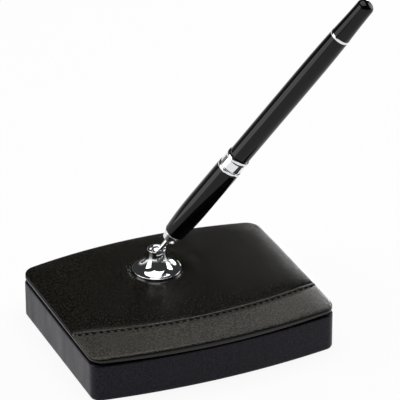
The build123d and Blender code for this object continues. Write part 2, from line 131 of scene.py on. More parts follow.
class PenStandSeam(bpy.types.PropertyGroup):
    """Lapped seam between the main leather and the front strip."""

    middle_x: length_property("Middle", "Place of the seam's front-most point along the base", 3.0 * MM)
    front_y: length_property("Front", "How far forward the seam comes", -37.5 * MM)
    radius: length_property("Radius", "Radius of the seam's curve", 240.0 * MM)
    hem_width: length_property("Hem width", "Width of the strip's folded edge", 1.5 * MM)
    hem_height: length_property("Hem height", "How far the folded edge stands up", 0.75 * MM)
    groove: length_property("Groove", "Depth of the groove behind the folded edge", 0.45 * MM)
    stitch_offset: length_property("Stitch offset", "Distance from the hem to the stitches", 0.65 * MM)
    stitch_dip: length_property("Stitch dip", "How far the stitches pull the leather in", 0.3 * MM)
    pitch: length_property("Pitch", "Distance from stitch to stitch", 4.0 * MM)
    stitch: length_property("Stitch", "Length of a stitch that shows", 2.6 * MM)
    thread: length_property("Thread", "Thickness of the thread", 0.9 * MM)
    thread_colour: colour_property("Thread colour", "Colour of the thread", "#040404")


class PenStandBox(bpy.types.PropertyGroup):
    """Lower box of the base, wrapped in leather, with felt under it."""

    bow: length_property("Bow", "How far the long sides bow out", 6.3 * MM)
    corner: length_property("Corner radius", "Rounding of the corners in plan", 6.0 * MM)
    rim: length_property("Rim round", "Rounding of the upper rim", 1.2 * MM)
    under: length_property("Lower round", "Rounding of the lower rim", 0.6 * MM)
    rim_turn_in: length_property("Rim turn-in", "Width of leather turned in over the rim", 12.0 * MM)
    under_turn_in: length_property("Lower turn-in", "Width of leather turned under the box", 10.0 * MM)
    leather: length_property("Leather", "Thickness of the leather", 1.0 * MM)
    felt_inset: length_property("Felt inset", "How far the felt stays inside the box", 0.5 * MM)
    colour: colour_property("Side colour", "Colour of the leather round the box", "#0d0c13")
    tint: colour_property("Side sheen", "Tint of the sheen on the box's leather", "#fbf6ff")
    felt_colour: colour_property("Felt colour", "Colour of the felt", "#141414")


class PenStandFinish(bpy.types.PropertyGroup):
    """Colours of the hard pieces."""

    chrome: colour_property("Chrome", "Colour of the chrome plate", "#e3e4e6")
    lacquer: colour_property("Lacquer", "Colour of the pen's lacquer", "#050506")
    steel: colour_property("Steel", "Colour of the bare steel", "#b4b3b0")
    brass: colour_property("Brass", "Colour of the brass", "#c9a659")
    nylon: colour_property("Nylon", "Colour of the friction cup", "#e2dcc8")
    liner: colour_property("Liner", "Colour of the socket's liner", "#1a1a1b")
    board: colour_property("Board", "Colour of the black board", "#0d0d0d")
    wood: colour_property("Wood", "Colour of the core", "#c3a27a")
    foam: colour_property("Foam", "Colour of the padding", "#8d8a84")


class PenStandStudio(bpy.types.PropertyGroup):
    """Camera, lamps and floor."""

    azimuth: angle_property("Azimuth", "Side that the camera stands on", -23.546)
    elevation: angle_property("Elevation", "Height angle of the camera", 27.711)
    roll: angle_property("Roll", "Turn of the camera about its view", -0.145)
    distance: length_property("Distance", "Distance from the camera to the point it looks at", 1.69404)
    aim: point_property("Aim", "Point that the camera looks at", (0.00099, -0.03092, 0.1))
    lens: number_property("Lens", "Focal length in millimetres", 272.19)
    sensor: number_property("Sensor", "Width of the sensor in millimetres", 36.0)
    lamp_aim: point_property("Lamp aim", "Point that the lamps face", (0.0, 0.0, 0.06))
    floor_size: length_property("Floor", "Width of the floor", 16.0)
    floor_colour: colour_property("Floor colour", "Colour of the floor", "#f4f4f4")
    floor_glow: number_property("Floor glow", "Share of plain white in how the floor looks", 0.9)
    horizon: number_property("Horizon", "Brightness of the room at the horizon", 0.35)
    room: number_property("Room", "Brightness of the room above the horizon's glow", 0.04)
    glow_top: number_property("Glow top", "Sine of the angle at which the horizon's glow ends", 0.2)


class PenStandSettings(bpy.types.PropertyGroup):
    """Sizes and colours of the pen stand."""

    panel: PointerProperty(type=PenStandPanel)
    seam: PointerProperty(type=PenStandSeam)
    box: PointerProperty(type=PenStandBox)
    finish: PointerProperty(type=PenStandFinish)
    studio: PointerProperty(type=PenStandStudio)


def settings():
    return bpy.context.scene.pen_stand


# Shapes in plan and the panel's crown


class BowedPlan:
    """Plan with straight ends, bowed long sides and rounded corners."""

    def __init__(self, length, depth, bow, corner):
        self.half_length = length / 2
        self.corner_radius = corner
        self.bow_radius = (self.half_length**2 + bow**2) / (2 * bow)
        self.bow_centre = depth / 2 - self.bow_radius

    def corner(self, inset):
        """Radius and centre of the back right corner's rounding."""
        radius = max(self.corner_radius - inset, SHARP_CORNER)
        x = self.half_length - inset - radius
        y = self.bow_centre + math.sqrt((self.bow_radius - inset - radius) ** 2 - x**2)
        return radius, x, y

    def tangent_x(self, inset):
        """Where the bowed side runs into the corner's rounding."""
        _, x, y = self.corner(inset)
        reach = self.bow_radius - inset
        return reach * x / math.hypot(x, y - self.bow_centre)

    def back_edge(self, x, inset):
        """The back edge's y at x, and the way that it faces."""
        if abs(x) <= self.tangent_x(inset):
            radius, centre_x, centre_y = self.bow_radius - inset, 0.0, self.bow_centre
        else:
            radius, centre_x, centre_y = self.corner(inset)
            centre_x = math.copysign(centre_x, x)
        across = max(-1.0, min(1.0, (x - centre_x) / radius))
        along = math.sqrt(1 - across**2)
        return centre_y + radius * along, Vector((across, along))

    def columns(self, inset, spacing, corner_steps=12):
        """Places along the length, closer together in the corners."""
        radius, corner_x, _ = self.corner(inset)
        tangent = self.tangent_x(inset)
        start = math.asin((tangent - corner_x) / radius)
        count = round(tangent / spacing)
        half = [tangent * step / count for step in range(count + 1)]
        for step in range(1, corner_steps + 1):
            angle = start + (math.pi / 2 - start) * step / corner_steps
            half.append(corner_x + radius * math.sin(angle))
        return [-x for x in reversed(half[1:])] + half

    def outline(self, inset, side_steps=48, corner_steps=8, end_steps=28):
        """Points round the plan, as many at every inset, anticlockwise from the right end's middle."""
        radius, corner_x, corner_y = self.corner(inset)
        turn = math.atan2(corner_y - self.bow_centre, corner_x)
        end_x = self.half_length - inset
        quarter = [Vector((end_x, corner_y * step / end_steps)) for step in range(end_steps)]
        for step in range(corner_steps):
            angle = turn * step / corner_steps
            x = corner_x + radius * math.cos(angle)
            y = corner_y + radius * math.sin(angle)
            quarter.append(Vector((x, y)))
        reach = self.bow_radius - inset
        for step in range(side_steps):
            angle = turn + (math.pi / 2 - turn) * step / side_steps
            quarter.append(Vector((reach * math.cos(angle), self.bow_centre + reach * math.sin(angle))))
        top = Vector((0.0, self.bow_centre + reach))
        left = [Vector((-point.x, point.y)) for point in reversed(quarter[1:])]
        half = quarter + [top] + left
        return half + [Vector((-point.x, -point.y)) for point in half]


def panel_plan():
    panel = settings().panel
    return BowedPlan(panel.length, panel.depth, panel.bow, panel.corner)


def box_plan():
    box = settings().box
    return BowedPlan(box_high.x - box_low.x, 2 * box_high.y, box.bow, box.corner)


def crown_height(x, y):
    """Height of the panel's crowned surface, whose ends bend down towards the front."""
    panel = settings().panel
    plan = panel_plan()
    reach = math.hypot(plan.half_length, panel.depth / 2 - panel.bow)
    radius = (reach**2 + panel.crown**2) / (2 * panel.crown)
    dome = panel_high.z - radius + math.sqrt(radius**2 - x**2 - y**2)
    bent = max(0.0, 1 - (plan.half_length - abs(x)) / panel.end_width)
    forward = smooth_step(0.5 - y / panel.depth)
    return dome - panel.end_fall * forward * bent**2


def seam_y(x):
    """The seam's place at x, and the cosine of its slope."""
    seam = settings().seam
    across = (x - seam.middle_x) / seam.radius
    slope = math.sqrt(1 - across**2)
    return seam.front_y + seam.radius * (1 - slope), slope


def smooth_step(value):
    share = max(0.0, min(1.0, value))
    return share * share * (3 - 2 * share)


# Modelling helpers


def start_piece(name, add, **arguments):
    """Deselects everything, adds a primitive and names it."""
    bpy.ops.object.select_all(action="DESELECT")
    add(**arguments)
    piece = bpy.context.object
    piece.name = name
    piece.data.name = name
    return piece


def start_edit(piece, selected, mode="VERT"):
    """Opens a piece in edit mode with all of it selected or none."""
    bpy.context.view_layer.objects.active = piece
    bpy.ops.object.mode_set(mode="EDIT")
    bpy.ops.mesh.select_mode(type=mode)
    bpy.ops.mesh.select_all(action="SELECT" if selected else "DESELECT")


def end_edit():
    bpy.ops.object.mode_set(mode="OBJECT")


def close_faces(piece):
    """Merges doubles and turns the faces outwards."""
    start_edit(piece, selected=True)
    bpy.ops.mesh.remove_doubles(threshold=DOUBLES)
    bpy.ops.mesh.normals_make_consistent(inside=False)
    end_edit()


def thicken(piece, thickness):
    """Gives a sheet its thickness, on the inside."""
    modifier = piece.modifiers.new("Thickness", "SOLIDIFY")
    modifier.thickness = thickness
    modifier.offset = -1
    bpy.context.view_layer.objects.active = piece
    bpy.ops.object.modifier_apply(modifier=modifier.name)
    close_faces(piece)


def finish_piece(piece, material, body, slot, *replaced, smooth_angle=40):
    """Shades a piece, gives it its material and hands it to a body of the frame."""
    bpy.ops.object.select_all(action="DESELECT")
    piece.select_set(True)
    bpy.context.view_layer.objects.active = piece
    bpy.ops.object.shade_smooth_by_angle(angle=math.radians(smooth_angle))
    piece.data.materials.clear()
    piece.data.materials.append(material)
    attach(piece, body)
    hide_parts(*replaced)
    return piece


def point_tree(points):
    tree = KDTree(len(points))
    for index, point in enumerate(points):
        tree.insert(point, index)
    tree.balance()
    return tree


def extrude_to(piece, points, targets):
    """Extrudes the selected edges, which lie on the points, out to the targets."""
    bpy.ops.mesh.extrude_region()
    tree = point_tree(points)
    edit = bmesh.from_edit_mesh(piece.data)
    for vertex in edit.verts:
        if vertex.select:
            vertex.co = targets[tree.find(vertex.co)[1]]
    bmesh.update_edit_mesh(piece.data)


def ring_loft(name, rings):
    """Lays a circle on the first ring and extrudes it through the others."""
    piece = start_piece(name, bpy.ops.mesh.primitive_circle_add, vertices=len(rings[0]), radius=MM)
    for vertex, point in zip(piece.data.vertices, rings[0]):
        vertex.co = point
    start_edit(piece, selected=True)
    for ring, target in zip(rings, rings[1:]):
        extrude_to(piece, ring, target)
    end_edit()
    return piece


def plan_loft(name, plan, profile):
    """Loft round a plan, through pairs of inset and height."""
    rings = [[Vector((p.x, p.y, z)) for p in plan.outline(inset)] for inset, z in profile]
    return ring_loft(name, rings)


def fill_rims(piece):
    """Closes the open ends of a loft with flat faces."""
    start_edit(piece, selected=False, mode="EDGE")
    bpy.ops.mesh.select_non_manifold(extend=False)
    bpy.ops.mesh.edge_face_add()
    end_edit()


def quarter_round(radius, steps):
    """(across, down) from the top of a rounded edge to its side."""
    angles = [math.pi / 2 * step / steps for step in range(1, steps + 1)]
    return [(radius * math.sin(angle), radius * (1 - math.cos(angle))) for angle in angles]


# Materials

# Mesh attribute that marks the leather's wrapped side, which the material darkens as painted shade
SHADED_SIDE = "side_shade_mask"
# Radians that a band pattern of scale 1 turns in a metre
BAND_TURN = 20


def linear(hex_colour):
    """Linear colour with full alpha from an sRGB hex value."""
    channels = [int(hex_colour[start : start + 2], 16) / 255 for start in (1, 3, 5)]
    values = [c / 12.92 if c <= 0.04045 else ((c + 0.055) / 1.055) ** 2.4 for c in channels]
    return (*values, 1.0)


def shade(hex_colour, factor):
    """The linear colour made lighter or darker."""
    red, green, blue, alpha = linear(hex_colour)
    return (min(red * factor, 1.0), min(green * factor, 1.0), min(blue * factor, 1.0), alpha)


def add_node(tree, kind, inputs=None, **values):
    """Adds a shader node with its settings; an input is a value, or another node's socket to link."""
    node = tree.nodes.new("ShaderNode" + kind)
    for name, value in values.items():
        setattr(node, name, value)
    for name, value in (inputs or {}).items():
        if isinstance(value, bpy.types.NodeSocket):
            tree.links.new(value, node.inputs[name])
        else:
            node.inputs[name].default_value = value
    return node


def clear_nodes(block):
    """Empties the node tree of a material or world, and gives the function that adds nodes to it."""
    block.use_nodes = True
    block.node_tree.nodes.clear()
    return partial(add_node, block.node_tree)


def new_material(name):
    """Empty material, the function that adds nodes to it, and the place on the object."""
    material = bpy.data.materials.new(name)
    add = clear_nodes(material)
    return material, add, add("TexCoord").outputs["Object"]


def finish_material(material, inputs):
    """Closes a material with a Principled shader."""
    shader = add_node(material.node_tree, "BsdfPrincipled", inputs)
    add_node(material.node_tree, "OutputMaterial", {"Surface": shader.outputs["BSDF"]})
    return material


def drifting_gloss(add, place, patch, low, high, detail=4.0, span=(0.0, 1.0)):
    """Roughness that drifts between two values, over patches of a real size."""
    drift = add("TexNoise", {"Vector": place, "Scale": 1 / patch, "Detail": detail})
    rough = add("MapRange", {
        "Value": drift.outputs["Fac"], "From Min": span[0], "From Max": span[1],
        "To Min": low, "To Max": high,
    })
    return rough.outputs["Result"]


def grained_hide(add, place, grain, depth):
    """Normal of pebbles with shallow furrows between them, on a hide that waves slightly."""
    warp = add("TexNoise", {"Vector": place, "Scale": 0.4 / grain, "Detail": 2.0})
    shift = add(
        "VectorMath",
        {0: warp.outputs["Color"], 1: (0.6 * grain,) * 3, 2: place}, operation="MULTIPLY_ADD",
    )
    cells = add(
        "TexVoronoi",
        {"Vector": shift.outputs["Vector"], "Scale": 1 / grain}, feature="DISTANCE_TO_EDGE",
    )
    furrow = add(
        "MapRange",
        {"Value": cells.outputs["Distance"], "From Max": 0.6}, interpolation_type="SMOOTHSTEP",
    )
    grained = add("Bump", {"Height": furrow.outputs["Result"], "Strength": 0.8, "Distance": depth})
    wave = 14 * MM
    wave_height = 0.15 * MM
    waves = add("TexNoise", {"Vector": place, "Scale": 1 / wave, "Detail": 2.0})
    bump = add("Bump", {
        "Height": waves.outputs["Fac"], "Strength": 0.6, "Distance": wave_height,
        "Normal": grained.outputs["Normal"],
    })
    return bump.outputs["Normal"]


def leather(name, colour, grain, depth, roughness, level, contrast, uneven, tint=WHITE, stretch=(1, 1, 1)):
    """Pigmented cowhide with a pressed grain: shallow pebbles, pores that speckle the colour, and a soft
    gloss that drifts over the hide. The wrapped side is drawn darker as painted shade, because the overhead
    light reaches it less. The grain is drawn about twice as coarse as the real one, so that it shows."""
    material, add, place = new_material(name)
    pores = add("TexNoise", {"Vector": place, "Scale": 1.4 / grain, "Detail": 2.0})
    speckle = add("MapRange", {"Value": pores.outputs["Fac"], "From Min": 0.38, "From Max": 0.64})
    pore_shade = 0.1
    tone = add(
        "Mix",
        {0: speckle.outputs["Result"], 6: shade(colour, pore_shade), 7: shade(colour, contrast)},
        data_type="RGBA",
    )
    # Painted shade: the groove, side and underneath of the wrapped edge are drawn at a quarter of the
    # colour, because the overhead light reaches them less
    side_shade_factor = 0.25
    side_shade_mask = add("Attribute", attribute_name=SHADED_SIDE)
    skin = add(
        "Mix",
        {0: side_shade_mask.outputs["Fac"], 6: tone.outputs[2], 7: shade(colour, side_shade_factor)},
        data_type="RGBA",
    )
    laid = add("Mapping", {"Vector": place, "Scale": stretch}).outputs["Vector"]
    gloss = drifting_gloss(add, laid, 9 * MM, roughness - uneven, roughness + uneven, span=(0.3, 0.7))
    return finish_material(material, {
        "Base Color": skin.outputs[2],
        "Roughness": gloss,
        "IOR": 1.5,
        "Specular IOR Level": level,
        "Specular Tint": tint,
        "Normal": grained_hide(add, place, grain, depth),
    })


def chrome_plate():
    """Bright chrome on polished metal: a hard mirror with the faintest haze of handling."""
    material, add, place = new_material("bright_chrome_plate")
    return finish_material(material, {
        "Base Color": linear(settings().finish.chrome),
        "Metallic": 1.0,
        "Roughness": drifting_gloss(add, place, 6 * MM, low=0.015, high=0.07),
    })


def gloss_lacquer():
    """Black lacquer, polished: a deep gloss with a trace of orange peel."""
    material, add, place = new_material("polished_black_lacquer")
    ripple = 2.5 * MM
    peel = add("TexNoise", {"Vector": place, "Scale": 1 / ripple, "Detail": 1.0})
    bump = add("Bump", {"Height": peel.outputs["Fac"], "Strength": 0.05, "Distance": 0.02 * MM})
    return finish_material(material, {
        "Base Color": linear(settings().finish.lacquer),
        "Roughness": drifting_gloss(add, place, 9 * MM, low=0.03, high=0.1),
        "IOR": 1.5,
        "Specular IOR Level": 0.25,
        "Normal": bump.outputs["Normal"],
    })


def bare_metal(name, colour, groove, roughness, uneven=0.08):
    """Turned or drawn metal: fine lines of the tool, so its gloss is broken up."""
    material, add, place = new_material(name)
    lines = add("TexWave", {"Vector": place, "Scale": 1 / (BAND_TURN * groove), "Distortion": 1.5})
    bump = add("Bump", {"Height": lines.outputs["Fac"], "Strength": 0.1, "Distance": 0.05 * MM})
    gloss = drifting_gloss(add, place, 5 * MM, roughness - uneven, roughness + uneven, detail=3.0)
    return finish_material(material, {
        "Base Color": linear(colour),
        "Metallic": 1.0,
        "Roughness": gloss,
        "Normal": bump.outputs["Normal"],
    })


def moulded_plastic(name, colour, roughness, uneven=0.06):
    """Moulded plastic: a fine spark-eroded texture and a soft, even gloss."""
    material, add, place = new_material(name)
    pit = 0.3 * MM
    spark = add("TexNoise", {"Vector": place, "Scale": 1 / pit, "Detail": 2.0})
    bump = add("Bump", {"Height": spark.outputs["Fac"], "Strength": 0.15, "Distance": 0.05 * MM})
    rough = add(
        "MapRange",
        {"Value": spark.outputs["Fac"], "To Min": roughness - uneven, "To Max": roughness + uneven},
    )
    return finish_material(material, {
        "Base Color": linear(colour),
        "Roughness": rough.outputs["Result"],
        "IOR": 1.53,
        "Normal": bump.outputs["Normal"],
    })


def fibrous(name, colour, fibre, depth, stretch=(1, 1, 1), level=0.5):
    """Felt, thread, board, foam or wood: matt fibres or cells, paler and darker by turns."""
    material, add, place = new_material(name)
    laid = add("Mapping", {"Vector": place, "Scale": stretch})
    mat = add(
        "TexNoise",
        {"Vector": laid.outputs["Vector"], "Scale": 1 / fibre, "Detail": 5.0, "Roughness": 0.7},
    )
    tone = add(
        "Mix", {0: mat.outputs["Fac"], 6: shade(colour, 0.6), 7: shade(colour, 1.4)},
        data_type="RGBA",
    )
    bump = add("Bump", {"Height": mat.outputs["Fac"], "Strength": 0.6, "Distance": depth})
    return finish_material(material, {
        "Base Color": tone.outputs[2],
        "Roughness": 0.92,
        "IOR": 1.45,
        "Specular IOR Level": level,
        "Normal": bump.outputs["Normal"],
    })


def paint(material, *nodes):
    """Gives frame nodes a material."""
    for name in nodes:
        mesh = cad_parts[name].data
        mesh.materials.clear()
        mesh.materials.append(material)


# The padded panel

# Rings that round the rolled edge
ROLL_STEPS = 5
# Shares of the edge groove's depth and height, from its upper lip to its lower one
GROOVE_SHARES = ((0.1, 0.05), (0.9, 0.2), (1.0, 0.5), (0.9, 0.8), (0.1, 0.9), (0.0, 1.0))
# How far in from its corner the middle of a rounded edge lies, for a radius of 1
ROUND_MIDDLE = 0.3
# Millimetres from the hem's foot, with the share of the seam's groove that is left there
GROOVE_SLOPE = ((0.0, 1.0), (0.35, 0.8), (0.8, 0.5), (1.5, 0.2), (2.4, 0.0))
# Millimetres from the stitches, with the share of their dip that is left there
DIP_SLOPE = ((0.0, 1.0), (0.6, 0.6), (1.3, 0.0))
# Rows across the hem, how square its section is, and its height at the back as a share of the front
HEM_STEPS = 12
HEM_SQUARENESS = 4
HEM_BACK = 0.6


def press_dip(x, y):
    """How far the clamped flange presses the leather down, less what wells up round it."""
    panel = settings().panel
    away = math.hypot(x - swivel.x, y - swivel.y) - flange_radius
    full = crown_height(x, y) - bell_low.z + FLANGE_GAP
    reach = 3 * panel.press
    share = max(0.0, min(1.0, away / reach))
    # The product peaks at 4 / 27, so its inverse makes the peak 1
    welled = 27 / 4 * share * (1 - share) ** 2
    return full * (1 - smooth_step(away / panel.press)) - panel.puff * welled


def panel_rows(x, side, profile, row_count, inset):
    """(y, lift) from the seam to the panel's outer edge, closely along the seam's profile first."""
    start, slope = seam_y(x)
    edge, _ = panel_plan().back_edge(x, inset)
    rows = [(start + side * offset / slope, lift) for offset, lift in profile]
    last_y = rows[-1][0]
    for step in range(1, row_count + 1):
        rows.append((last_y + (side * edge - last_y) * step / row_count, 0.0))
    return rows


def sew_panel(name, side, profile, row_count):
    """Grid laid on one side of the seam, with its three outer edges rolled over the board."""
    panel = settings().panel
    plan = panel_plan()
    columns = plan.columns(panel.roll, panel.spacing)
    grid = [panel_rows(x, side, profile, row_count, panel.roll) for x in columns]
    last_column = len(columns) - 1
    last_row = len(grid[0]) - 1
    piece = start_piece(
        name, bpy.ops.mesh.primitive_grid_add, x_subdivisions=last_column, y_subdivisions=last_row, size=2
    )
    number = {}
    for vertex in piece.data.vertices:
        column = round((vertex.co.x + 1) / 2 * last_column)
        row = round((vertex.co.y + 1) / 2 * last_row)
        number[column, row] = vertex.index
        x = columns[column]
        y, lift = grid[column][row]
        vertex.co = (x, y, crown_height(x, y) - press_dip(x, y) + lift)
    rim = [(0, row) for row in range(last_row)]
    rim += [(column, last_row) for column in range(last_column)]
    rim += [(last_column, row) for row in range(last_row, -1, -1)]
    facings = [rim_facing(columns, side, last_row, place) for place in rim]
    lifts = [grid[column][row][1] for column, row in rim]
    roll_over(piece, [number[place] for place in rim], facings, lifts)
    return piece


def rim_facing(columns, side, last_row, place):
    """The way that the panel's edge faces at a place on the grid's rim."""
    column, row = place
    if row < last_row:
        return Vector((math.copysign(1.0, columns[column]), 0.0))
    _, facing = panel_plan().back_edge(columns[column], settings().panel.roll)
    return Vector((facing.x, side * facing.y))


def inset_ring(ring, facings, inset, heights):
    """The ring moved in from the way that it faces, at new heights."""
    return [
        Vector((point.x - facing.x * inset, point.y - facing.y * inset, height))
        for point, facing, height in zip(ring, facings, heights)
    ]


def edge_rings(tops, facings, lifts):
    """Rings over the rolled edge, round its groove, down the side and in underneath."""
    panel = settings().panel
    rings = []
    for step in range(1, ROLL_STEPS + 1):
        angle = math.pi / 2 * step / ROLL_STEPS
        heights = [top.z - (panel.roll + lift) * (1 - math.cos(angle)) for top, lift in zip(tops, lifts)]
        rings.append(inset_ring(tops, facings, -panel.roll * math.sin(angle), heights))
    rolled = rings[-1]
    for inset, drop in GROOVE_SHARES:
        heights = [point.z - drop * panel.groove for point in rolled]
        rings.append(inset_ring(rolled, facings, inset * panel.groove_depth, heights))
    side = rings[-1]
    bottom = panel_low.z - panel.hang
    low = bottom + panel.turn_round
    rings.append(inset_ring(side, facings, 0.0, [(point.z + low) / 2 for point in side]))
    middle = ROUND_MIDDLE * panel.turn_round
    underneath = (
        (0.0, low),
        (middle, bottom + middle),
        (panel.turn_round, bottom),
        (panel.turn_in / 4, panel_low.z),
        (panel.turn_in, panel_low.z),
    )
    for inset, height in underneath:
        rings.append(inset_ring(side, facings, inset, [height] * len(side)))
    return rings


def roll_over(piece, rim, facings, lifts):
    """Extrudes the rim over the board's edge, down its side and in underneath."""
    tops = [piece.data.vertices[index].co.copy() for index in rim]
    rings = edge_rings(tops, facings, lifts)
    start_edit(piece, selected=False, mode="EDGE")
    edit = bmesh.from_edit_mesh(piece.data)
    edit.verts.ensure_lookup_table()
    for first, second in zip(rim, rim[1:]):
        edge = edit.edges.get((edit.verts[first], edit.verts[second]))
        edge.select_set(True)
    edit.select_flush_mode()
    bmesh.update_edit_mesh(piece.data)
    for ring, target in zip([tops] + rings, rings):
        extrude_to(piece, ring, target)
    end_edit()
    # The groove, the side and the underside take the painted shade
    wrapped = rings[ROLL_STEPS + 1 :]
    mark_shaded_side(piece, [point for ring in wrapped for point in ring])


def mark_shaded_side(piece, points):
    """Marks the wrapped side, which the leather's material darkens as painted shade."""
    tree = point_tree(points)
    mark = piece.data.attributes.new(SHADED_SIDE, "FLOAT", "POINT")
    for vertex in piece.data.vertices:
        mark.data[vertex.index].value = float(tree.find(vertex.co)[2] < SAME_PLACE)


def cut_stud_hole(piece, radius):
    """Opens the leather for the stud under the flange."""
    start_edit(piece, selected=False)
    edit = bmesh.from_edit_mesh(piece.data)
    centre = Vector((swivel.x, swivel.y))
    for face in edit.faces:
        middle = face.calc_center_median()
        near = (middle.xy - centre).length < radius
        face.select_set(near and middle.z > (panel_low.z + panel_high.z) / 2)
    bmesh.update_edit_mesh(piece.data)
    bpy.ops.mesh.delete(type="FACE")
    edit = bmesh.from_edit_mesh(piece.data)
    for vertex in edit.verts:
        offset = vertex.co.xy - centre
        if vertex.is_boundary and offset.length < 2 * radius:
            vertex.co.xy = centre + offset.normalized() * radius
    bmesh.update_edit_mesh(piece.data)
    end_edit()


def swell(piece, cap):
    """Cloth blown up from inside, held where the leather is sewn, glued or clamped, and eased towards the
    cap. It is simulated a hundred times larger, because cloth that small hardly moves."""
    larger = 100.0
    frames = 16
    ease = 2.6 * cap
    rest = [vertex.co.copy() for vertex in piece.data.vertices]
    group = piece.vertex_groups.new(name="held")
    group.add([index for index, point in enumerate(rest) if held_leather(point)], 1.0, "REPLACE")
    piece.data.transform(Matrix.Scale(larger, 4))
    cloth = piece.modifiers.new("Cloth", "CLOTH")
    cloth.settings.quality = 5
    cloth.settings.mass = 0.2
    cloth.settings.tension_stiffness = 12
    cloth.settings.compression_stiffness = 12
    cloth.settings.bending_stiffness = 2
    cloth.settings.vertex_group_mass = "held"
    cloth.settings.use_pressure = True
    cloth.settings.uniform_pressure_force = 1
    cloth.settings.effector_weights.gravity = 0
    cloth.collision_settings.use_collision = False
    for step in range(1, frames + 1):
        bpy.context.scene.frame_set(step)
    bpy.context.view_layer.objects.active = piece
    bpy.ops.object.modifier_apply(modifier=cloth.name)
    bpy.context.scene.frame_set(1)
    piece.data.transform(Matrix.Scale(1 / larger, 4))
    for vertex, start in zip(piece.data.vertices, rest):
        move = vertex.co - start
        if move.length > 0:
            vertex.co = start + move.normalized() * cap * math.tanh(move.length / ease)
    piece.vertex_groups.clear()


def held_leather(point):
    """Where the panel's leather can't lift: along the seam, on the wrapped edge and under the flange."""
    seam = settings().seam
    edge_margin = 0.1 * MM
    clamp_margin = 0.5 * MM
    seam_place, slope = seam_y(point.x)
    on_seam = abs(point.y - seam_place) * slope < seam.hem_width + seam.stitch_offset
    plan = panel_plan()
    inset = settings().panel.roll - edge_margin
    end = plan.half_length - inset
    edge, _ = plan.back_edge(max(-end, min(end, point.x)), inset)
    on_edge = abs(point.x) > end or abs(point.y) > edge
    clamped = math.hypot(point.x - swivel.x, point.y - swivel.y) < flange_radius + clamp_margin
    return on_seam or on_edge or clamped


class PENSTAND_OT_main_leather(bpy.types.Operator):
    """Model the main leather of the panel, crowned over its padding"""

    bl_idname = "penstand.main_leather"
    bl_label = "Main Leather"

    def execute(self, context):
        panel = settings().panel
        seam = settings().seam
        profile = [(place * MM, -share * seam.groove) for place, share in GROOVE_SLOPE]
        rows = round((panel.depth / 2 - seam.front_y) / panel.spacing)
        piece = sew_panel("main_leather", 1, profile, rows)
        close_faces(piece)
        cut_stud_hole(piece, panel.stud_hole)
        swell(piece, panel.swell)
        thicken(piece, panel.leather)
        material = leather(
            "pigmented_cowhide", panel.main_colour, grain=1.5 * MM, depth=0.025 * MM,
            roughness=0.25, level=0.15, contrast=1.9, uneven=0.02,
        )
        finish_piece(piece, material, "base", "panel_leather", "top_leather", smooth_angle=60)
        return {"FINISHED"}


class PENSTAND_OT_front_strip(bpy.types.Operator):
    """Model the front strip with its folded edge lapped over the main leather"""

    bl_idname = "penstand.front_strip"
    bl_label = "Front Strip"

    def execute(self, context):
        panel = settings().panel
        seam = settings().seam
        line = seam.hem_width + seam.stitch_offset
        profile = [(0.0, -seam.groove)]
        for step in range(HEM_STEPS + 1):
            across = (1 - math.cos(math.pi * step / HEM_STEPS)) / 2
            rounded = (1 - abs(2 * across - 1) ** HEM_SQUARENESS) ** (1 / HEM_SQUARENESS)
            height = seam.hem_height * rounded * (HEM_BACK + (1 - HEM_BACK) * across)
            profile.append((seam.hem_width * across, height))
        profile += [(line + place * MM, -share * seam.stitch_dip) for place, share in DIP_SLOPE]
        rows = round((panel.depth / 2 + seam.front_y - line) / panel.spacing)
        piece = sew_panel("front_strip", -1, profile, rows)
        close_faces(piece)
        swell(piece, panel.strip_swell)
        thicken(piece, panel.strip_leather)
        material = leather(
            "waxed_calf_strip", panel.strip_colour, grain=1.3 * MM, depth=0.05 * MM,
            roughness=0.34, level=0.3, contrast=1.6, uneven=0.03,
        )
        finish_piece(piece, material, "base", "strip_leather", "front_leather", smooth_angle=60)
        return {"FINISHED"}


class PENSTAND_OT_padding(bpy.types.Operator):
    """Model the thin padding under the panel's leather"""

    bl_idname = "penstand.padding"
    bl_label = "Padding"

    def execute(self, context):
        panel = settings().panel
        plan = panel_plan()
        gap = 0.35 * MM
        shoulder = 0.6 * MM
        least_side = 0.2 * MM
        under = panel.leather + gap
        insets = [under + shoulder, 4 * MM, 10 * MM, 20 * MM, 32 * MM, 46 * MM]
        low_side = crown_height(panel.length / 2, panel.depth / 2 - panel.bow) - panel.roll
        side_top = max(low_side, foam_low.z + least_side)
        rings = [[Vector((p.x, p.y, z)) for p in plan.outline(under)] for z in (foam_low.z, side_top)]
        for inset in insets:
            ring = []
            for p in plan.outline(inset):
                z = crown_height(p.x, p.y) - press_dip(p.x, p.y) - under
                ring.append(Vector((p.x, p.y, z)))
            rings.append(ring)
        piece = ring_loft("panel_padding", rings)
        fill_rims(piece)
        close_faces(piece)
        material = fibrous("polyurethane_foam", settings().finish.foam, fibre=0.7 * MM, depth=0.3 * MM)
        finish_piece(piece, material, "base", "foam", "panel_foam")
        return {"FINISHED"}


